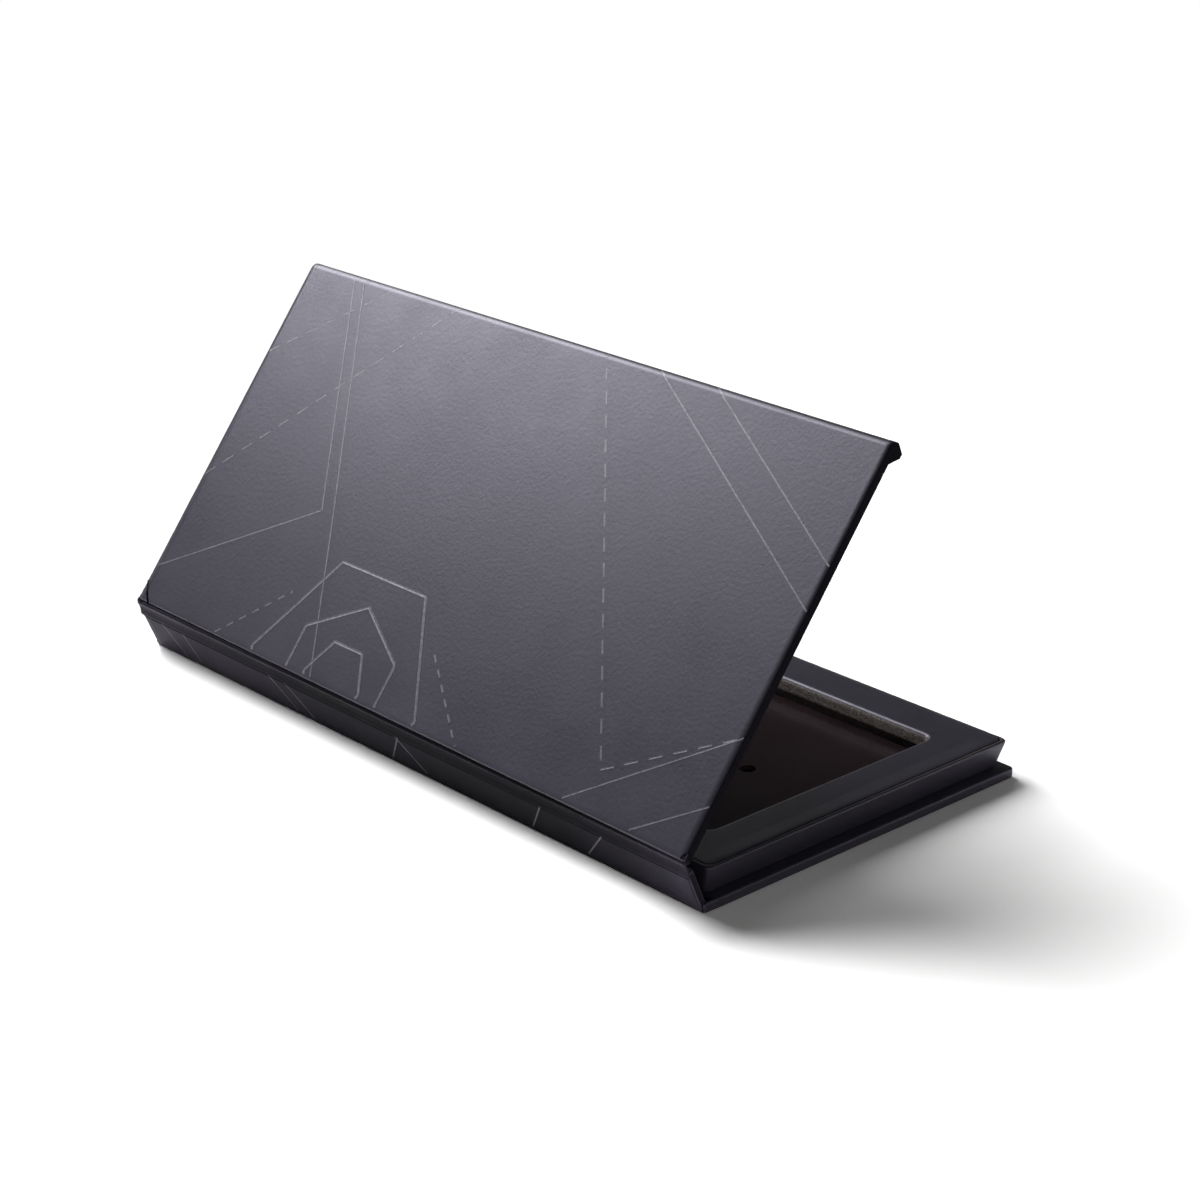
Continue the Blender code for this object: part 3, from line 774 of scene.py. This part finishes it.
for name, rings, shader in (
    ("tray_top_lap", LAP_RINGS, PAPER),
    ("tray_top_groove_shade", GROOVE_SHADE_RINGS, SHADED_END_PAPER),
    ("tray_top_crest", CREST_RINGS, RIM_HIGHLIGHT_PAPER),
):
    lap = ring_piece(name, [rim_ring(*ring) for ring in rings], shader, degrees=30.0)
    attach(lap, "base")


# Cut edge of the frame's board: it starts below the paper's curl and leans a little into the well

WELL_CORNER_STEPS = 8

# (setback behind the well's wall, height over the table), in millimetres
CUT_EDGE = (
    (0.21, 6.62), (0.175, 6.60), (0.07, 6.42), (-0.01, 6.22), (-0.05, 6.0), (-0.10, 5.6),
    (-0.17, 5.1), (-0.22, 4.78), (-0.20, 4.71), (0.30, 4.71), (0.30, 6.0), (0.24, 6.5),
)


def well_ring(setback, height):
    """Points round the well's opening, moved back from its wall."""
    x, rear, front = WELL_HALF - WELL_RADIUS, WELL_REAR + WELL_RADIUS, WELL_FRONT - WELL_RADIUS
    reach = WELL_RADIUS + setback * MM
    found = []
    for i, (cx, cy) in enumerate(((x, front), (-x, front), (-x, rear), (x, rear))):
        for step in range(WELL_CORNER_STEPS + 1):
            turn = (i + step / WELL_CORNER_STEPS) * QUARTER_TURN
            way = Vector((math.cos(turn), math.sin(turn)))
            found.append(Vector((cx + reach * way.x, cy + reach * way.y, height * MM)))
    return found


cut_loops = [well_ring(*pair) for pair in CUT_EDGE]
cut_board = ring_piece("well_cut_edge", cut_loops, CUT_BOARD, degrees=60.0)
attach(cut_board, "base")


# Printed lines and painted crease shade: thin strips on the paper, laid out for this part

LINE_HEIGHT = 0.012 * MM
LINE_CROWN = 0.055
LINE_STEP = 1.0 * MM
LINE_SHORTEST = 0.2 * MM
PARALLEL = 1e-12


def lid_surface(x, along, lift):
    """Point on the lid's outer paper; past the flat the way goes round the free edge."""
    flat_end = LID_EDGE - FREE_RADIUS
    if along <= flat_end:
        return on_lid(x, along, lift)
    angle = min((along - flat_end) / FREE_RADIUS, QUARTER_TURN)
    reach = FREE_RADIUS + lift
    return on_lid(x, flat_end + math.sin(angle) * reach, math.cos(angle) * reach - FREE_RADIUS)


def spine_surface(x, up, lift):
    """Point on the spine's outer paper."""
    return on_spine(x, -lift, up)


def cut_to_box(a, b, low, high):
    """The part of the straight line from a to b inside the box, or None."""
    start, end = 0.0, 1.0
    for i in range(2):
        step = b[i] - a[i]
        for limit, sign in ((low[i], 1), (high[i], -1)):
            if abs(step) < PARALLEL:
                if sign * (a[i] - limit) < 0:
                    return None
                continue
            t = (limit - a[i]) / step
            if sign * step > 0:
                start = max(start, t)
            else:
                end = min(end, t)
    if start >= end:
        return None
    way = Vector(b) - Vector(a)
    return Vector(a) + way * start, Vector(a) + way * end


def dashes(a, b, mark, gap):
    """The line from a to b as marks with gaps between them."""
    a, way = Vector(a), Vector(b) - Vector(a)
    length = way.length
    found, at = [], 0.0
    while at < length:
        end = min(at + mark, length)
        found.append((a + way * (at / length), a + way * (end / length)))
        at += mark + gap
    return found


def hexagon(centre, radius, turn=0.0):
    """A regular outline's six sides as straight lines."""
    angles = [turn + math.pi / 3 * i for i in range(6)]
    corners = [
        (centre[0] + radius * math.cos(angle), centre[1] + radius * math.sin(angle))
        for angle in angles
    ]
    return list(zip(corners, corners[1:] + corners[:1]))


def ribbons(name, lines, surface, width, low, high, shader, body):
    """Straight lines as thin strips pressed in along their middle; points in millimetres."""
    rise = LINE_HEIGHT + width * LINE_CROWN
    profile = ((1, -LINE_HEIGHT), (1, rise), (0, LINE_HEIGHT), (-1, rise), (-1, -LINE_HEIGHT))
    size = len(profile)
    points, faces = [], []
    for a, b in lines:
        kept = cut_to_box((a[0] * MM, a[1] * MM), (b[0] * MM, b[1] * MM), low, high)
        if not kept or (kept[1] - kept[0]).length < LINE_SHORTEST:
            continue
        start, way = kept[0], kept[1] - kept[0]
        side = Vector((-way.y, way.x)).normalized() * width / 2
        count = max(1, math.ceil(way.length / LINE_STEP))
        first = len(points)
        for i in range(count + 1):
            here = start + way * (i / count)
            for across, lift in profile:
                points.append(surface(here.x + side.x * across, here.y + side.y * across, lift))
        for face in band_faces(count + 1, size):
            faces.append(tuple(first + i for i in face))
        last = len(points) - size
        faces.append(tuple(range(first, first + size)))
        faces.append(tuple(range(last, last + size))[::-1])
    made = piece(name, points, faces, shader, smooth=False)
    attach(made, body)


LID_LOW, LID_HIGH = (-76.2 * MM, 1.2 * MM), (76.2 * MM, 75.2 * MM)
CREASE_LOW = (-76.6 * MM, 0.4 * MM)
SPINE_LOW, SPINE_HIGH = (-76.2 * MM, 1.1 * MM), (76.2 * MM, 8.0 * MM)
SPINE_CREASE_LOW, SPINE_CREASE_HIGH = (-76.5 * MM, 1.0 * MM), (76.5 * MM, 9.0 * MM)

FINE_LINES = [
    ((-64, 76), (-40, 30)), ((-40, 30), (-76.2, 8)), ((-61, 76), (-36, 29)), ((-36, 29), (-20, -2)),
    ((20, 76), (76.4, 44)), ((34, 76), (76.4, 52)), ((76.4, 22), (44, -1)), ((76.4, 10), (60, -1)),
]
HEXAGONS_AT = (-16, 2)
LONG_DASHED = [
    ((-76.2, 55), (-48, 76)), ((-76.2, 28), (-30, 76)), ((8, 76), (52, 8)), ((52, 8), (76.4, 22)),
]
SHORT_DASHED = [((-54, -1), (-36.8, 14)), ((4.8, 14), (22, -1))]
# Near-black strips of painted shade along the creases at the lid's corners
LID_CREASES = [
    ((-76.5, 4.7), (-75.0, 2.4)), ((-75.0, 2.4), (-73.2, 0.5)), ((76.4, 2.0), (75.6, 0.6)),
]
# A near-black strip of painted shade along the spine's crease
SPINE_CREASE = [((-76.4, 7.52), (76.4, 7.60))]
SPINE_LINES = [
    ((-73, 12), (-66, 1)), ((-65, 12), (-61, 1)), ((-39, 12), (-30, 1)), ((-34, 12), (-25, 1)),
    ((-2, 12), (8, 1)), ((6, 12), (-2, 1)), ((44, 12), (36, 1)), ((60, 12), (50, 1)),
]

plain_lines = hexagon(HEXAGONS_AT, 24) + hexagon(HEXAGONS_AT, 15, turn=math.radians(30))
plain_lines += hexagon(HEXAGONS_AT, 8)
dash_lines = []
for a, b in LONG_DASHED:
    dash_lines += dashes(a, b, mark=2.6, gap=2.2)
for a, b in SHORT_DASHED:
    dash_lines += dashes(a, b, mark=1.6, gap=1.6)

for name, lines, width, low, shader in (
    ("lid_fine_lines", FINE_LINES, 0.28, LID_LOW, FOIL),
    ("lid_plain_lines", plain_lines, 0.60, LID_LOW, FOIL),
    ("lid_dashes", dash_lines, 0.34, LID_LOW, FOIL),
    ("lid_crease_shades", LID_CREASES, 0.44, CREASE_LOW, CREASE_SHADE_PAPER),
):
    ribbons(name, lines, lid_surface, width * MM, low, LID_HIGH, shader, "lid")
for name, lines, width, low, high, shader in (
    ("spine_crease_shade", SPINE_CREASE, 0.32, SPINE_CREASE_LOW, SPINE_CREASE_HIGH, CREASE_SHADE_PAPER),
    ("spine_lines", SPINE_LINES, 0.30, SPINE_LOW, SPINE_HIGH, DARK_SPINE_FOIL),
):
    ribbons(name, lines, spine_surface, width * MM, low, high, shader, "spine")


# Studio

WHITE = (1.0, 1.0, 1.0, 1.0)
LAMPS_AIM = Vector((0.0, 0.0, 0.020))
KEY_AT = Vector((-0.280, -0.050, 0.314))
KEY_SIZE = 0.27
KEY_POWER = 2.44

FLOOR_HALF = 8.0
FLOOR_DROP = 0.02 * MM
FLOOR_SHADE = 0.85
FLOOR_GAIN = 1.15
FLOOR_BRIGHTEST = 4.0
# Painted light: the floor's colour is raised on the strip in front of the spine
SPINE_STRIP_PAINTED_LIGHT = 0.75
# Painted shadow: the floor's colour is lowered on a patch beside the tray
TRAY_PATCH_PAINTED_SHADE = -0.17
TRAY_SHADE_PATCH_AT = (0.084, 0.014, 0.0)
LEAST_FACING = 0.05


class Floor:
    """White floor: what the camera and gloss see of it stays white and keeps the shadow, with
    painted light in front of the spine and a painted shadow beside the tray.
    """

    def __init__(self, name):
        self.material = bpy.data.materials.new(name)
        self.material.use_nodes = True
        self.tree = tree = self.material.node_tree
        tree.nodes.clear()
        self.seen = self.any_of("Is Camera Ray", "Is Glossy Ray", "Is Transmission Ray")
        place = tree.nodes.new("ShaderNodeNewGeometry").outputs["Position"]
        lit = tree.nodes.new("ShaderNodeBsdfDiffuse")
        more = self.scalar("SUBTRACT", self.evened(place), FLOOR_SHADE)
        shade = self.scalar("MULTIPLY_ADD", self.seen, more, FLOOR_SHADE)
        grey = tree.nodes.new("ShaderNodeCombineColor")
        for i in range(3):
            tree.links.new(shade, grey.inputs[i])
        tree.links.new(grey.outputs[0], lit.inputs["Color"])
        white = tree.nodes.new("ShaderNodeEmission")
        white.inputs["Color"].default_value = WHITE
        both = tree.nodes.new("ShaderNodeMixShader")
        far = self.scalar("MULTIPLY", self.seen, self.far(place))
        tree.links.new(far, both.inputs[0])
        tree.links.new(lit.outputs[0], both.inputs[1])
        tree.links.new(white.outputs[0], both.inputs[2])
        output = tree.nodes.new("ShaderNodeOutputMaterial")
        tree.links.new(both.outputs[0], output.inputs["Surface"])

    def scalar(self, operation, *values):
        node = self.tree.nodes.new("ShaderNodeMath")
        node.operation = operation
        for i, value in enumerate(values):
            if isinstance(value, float):
                node.inputs[i].default_value = value
            else:
                self.tree.links.new(value, node.inputs[i])
        return node.outputs[0]

    def vector(self, operation, first, second=None, output="Value"):
        node = self.tree.nodes.new("ShaderNodeVectorMath")
        node.operation = operation
        self.tree.links.new(first, node.inputs[0])
        if second is not None:
            node.inputs[1].default_value = second
        return node.outputs[output]

    def any_of(self, *names):
        path = self.tree.nodes.new("ShaderNodeLightPath")
        total = path.outputs[names[0]]
        for name in names[1:]:
            total = self.scalar("MAXIMUM", total, path.outputs[name])
        return total

    def ramp(self, value, start, end):
        """Soft step from 0 at start to 1 at end."""
        node = self.tree.nodes.new("ShaderNodeMapRange")
        node.interpolation_type = "SMOOTHSTEP"
        node.inputs["From Min"].default_value = start
        node.inputs["From Max"].default_value = end
        self.tree.links.new(value, node.inputs["Value"])
        return node.outputs["Result"]

    def evened(self, place):
        """Colour that undoes the lamp's falloff over the floor, with painted light in front of the
        spine and painted shadow beside the tray.
        """
        away = self.vector("SUBTRACT", place, KEY_AT, "Vector")
        length = self.vector("LENGTH", away)
        facing = self.vector("DOT_PRODUCT", away, (LAMPS_AIM - KEY_AT).normalized())
        fourth = self.scalar("POWER", length, 4.0)
        level = KEY_POWER / math.pi / math.pi * KEY_AT.z
        lit = self.scalar("MULTIPLY", self.scalar("MAXIMUM", facing, LEAST_FACING), level)
        raised = self.scalar("DIVIDE", fourth, lit)
        strip = self.painted_light_before_spine(place)
        gain = self.scalar("MULTIPLY_ADD", strip, SPINE_STRIP_PAINTED_LIGHT, FLOOR_GAIN)
        gain = self.scalar("MULTIPLY_ADD", self.painted_shadow_beside_tray(place), TRAY_PATCH_PAINTED_SHADE, gain)
        return self.scalar("MINIMUM", self.scalar("MULTIPLY", raised, gain), FLOOR_BRIGHTEST)

    def painted_light_before_spine(self, place):
        """Painted light: 1 on the strip of floor in front of the spine, where the contact shadow is
        light;
        there the floor's colour is raised.
        """
        axes = self.tree.nodes.new("ShaderNodeSeparateXYZ")
        self.tree.links.new(place, axes.inputs[0])
        in_front = self.ramp(axes.outputs["Y"], start=-0.030, end=-0.042)
        along = self.ramp(axes.outputs["X"], start=0.085, end=0.060)
        return self.scalar("MULTIPLY", in_front, along)

    def painted_shadow_beside_tray(self, place):
        """Painted shadow: 1 on the patch of floor beside the tray's right end, where the shadow is
        deepest;
        there the floor's colour is lowered.
        """
        away = self.vector("DISTANCE", place, TRAY_SHADE_PATCH_AT)
        return self.ramp(away, start=0.030, end=0.010)

    def far(self, place):
        """1 well away from the palette, where the floor is plain white."""
        flat = self.vector("MULTIPLY", place, (1.0, 1.0, 0.0), "Vector")
        return self.ramp(self.vector("LENGTH", flat), start=0.14, end=0.29)


def studio_floor():
    reach = FLOOR_HALF
    corners = [(-reach, -reach, 0), (reach, -reach, 0), (reach, reach, 0), (-reach, reach, 0)]
    material = Floor("studio_floor").material
    floor = piece("studio_floor", corners, [(0, 1, 2, 3)], material, smooth=False, closed=False)
    floor.location.z = -FLOOR_DROP
    floor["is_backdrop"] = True


def area_light(name, way, distance, width, height, power):
    """A lamp that looks at the palette from the given way."""
    lamp = bpy.data.lights.new(name, "AREA")
    lamp.shape = "RECTANGLE"
    lamp.size, lamp.size_y = width, height
    lamp.energy = power
    obj = bpy.data.objects.new(name, lamp)
    bpy.context.scene.collection.objects.link(obj)
    way = Vector(way).normalized()
    obj.location = LAMPS_AIM + way * distance
    obj.rotation_mode = "QUATERNION"
    obj.rotation_quaternion = way.to_track_quat("Z", "Y")
    return obj


def studio_lamps():
    """A key from the upper left, and three faint lamps round the palette."""
    way = KEY_AT - LAMPS_AIM
    area_light("key", way, way.length, KEY_SIZE, KEY_SIZE, KEY_POWER)
    area_light("rim", (0.68, 0.68, 0.26), distance=0.7, width=0.5, height=0.5, power=0.3)
    right = area_light("right", (0.90, -0.40, 0.13), distance=0.7, width=0.4, height=0.2, power=0.8)
    right.data.color = (1.0, 0.99, 0.96)
    right.visible_glossy = False
    area_light("left", (-0.75, 0.20, 0.63), distance=0.7, width=0.4, height=0.4, power=1.3)


SKY_LEVEL = 0.018
GLOSS_WHITE_BELOW, GLOSS_DARK_ABOVE = 0.04, 0.22


def studio_world():
    """Faint even light; the camera sees white, and gloss sees white low over the horizon."""
    world = bpy.data.worlds.new("studio")
    bpy.context.scene.world = world
    world.use_nodes = True
    tree = world.node_tree
    path = tree.nodes.new("ShaderNodeLightPath").outputs
    axes = tree.nodes.new("ShaderNodeSeparateXYZ")
    tree.links.new(tree.nodes.new("ShaderNodeTexCoord").outputs["Generated"], axes.inputs[0])
    low = tree.nodes.new("ShaderNodeMapRange")
    low.interpolation_type = "SMOOTHSTEP"
    low.inputs["From Min"].default_value = GLOSS_DARK_ABOVE
    low.inputs["From Max"].default_value = GLOSS_WHITE_BELOW
    tree.links.new(axes.outputs["Z"], low.inputs["Value"])
    shiny = tree.nodes.new("ShaderNodeMath")
    shiny.operation = "MULTIPLY"
    tree.links.new(path["Is Glossy Ray"], shiny.inputs[0])
    tree.links.new(low.outputs["Result"], shiny.inputs[1])
    seen = shiny.outputs[0]
    for name in ("Is Camera Ray", "Is Transmission Ray"):
        either = tree.nodes.new("ShaderNodeMath")
        either.operation = "MAXIMUM"
        tree.links.new(seen, either.inputs[0])
        tree.links.new(path[name], either.inputs[1])
        seen = either.outputs[0]
    strength = tree.nodes.new("ShaderNodeMapRange")
    strength.inputs["To Min"].default_value = SKY_LEVEL
    strength.inputs["To Max"].default_value = 1.0
    tree.links.new(seen, strength.inputs["Value"])
    sky = tree.nodes["Background"]
    sky.inputs["Color"].default_value = WHITE
    tree.links.new(strength.outputs["Result"], sky.inputs["Strength"])


studio_floor()
studio_lamps()
studio_world()


# Camera at the photograph's viewing angle

CAMERA_AT = (0.36671, -0.31615, 0.21253)
AZIMUTH, ELEVATION, ROLL = math.radians(48.349), math.radians(21.580), math.radians(-0.689)
FOCAL_PIXELS = 2861.94
PHOTO_PIXELS = 1200
SENSOR_WIDTH = 36.0
CLIP_START, CLIP_END = 0.01, 20.0


def photo_camera():
    """Turned by its azimuth from -Y towards +X, then by its elevation and roll."""
    right = Vector((math.cos(AZIMUTH), math.sin(AZIMUTH), 0.0))
    level = Vector((-math.sin(AZIMUTH), math.cos(AZIMUTH), 0.0))
    forward = level * math.cos(ELEVATION) - Vector((0.0, 0.0, math.sin(ELEVATION)))
    up = right.cross(forward)
    across = right * math.cos(ROLL) + up * math.sin(ROLL)
    above = up * math.cos(ROLL) - right * math.sin(ROLL)
    data = bpy.data.cameras.new("photo_camera")
    data.sensor_fit = "HORIZONTAL"
    data.sensor_width = SENSOR_WIDTH
    data.lens = FOCAL_PIXELS / PHOTO_PIXELS * SENSOR_WIDTH
    data.clip_start, data.clip_end = CLIP_START, CLIP_END
    data.dof.use_dof = False
    camera = bpy.data.objects.new("photo_camera", data)
    bpy.context.scene.collection.objects.link(camera)
    turn = Matrix((across, above, -forward)).transposed().to_4x4()
    camera.matrix_world = Matrix.Translation(CAMERA_AT) @ turn
    bpy.context.scene.camera = camera


photo_camera()
bpy.context.scene.view_settings.view_transform = "Standard"

low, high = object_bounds()
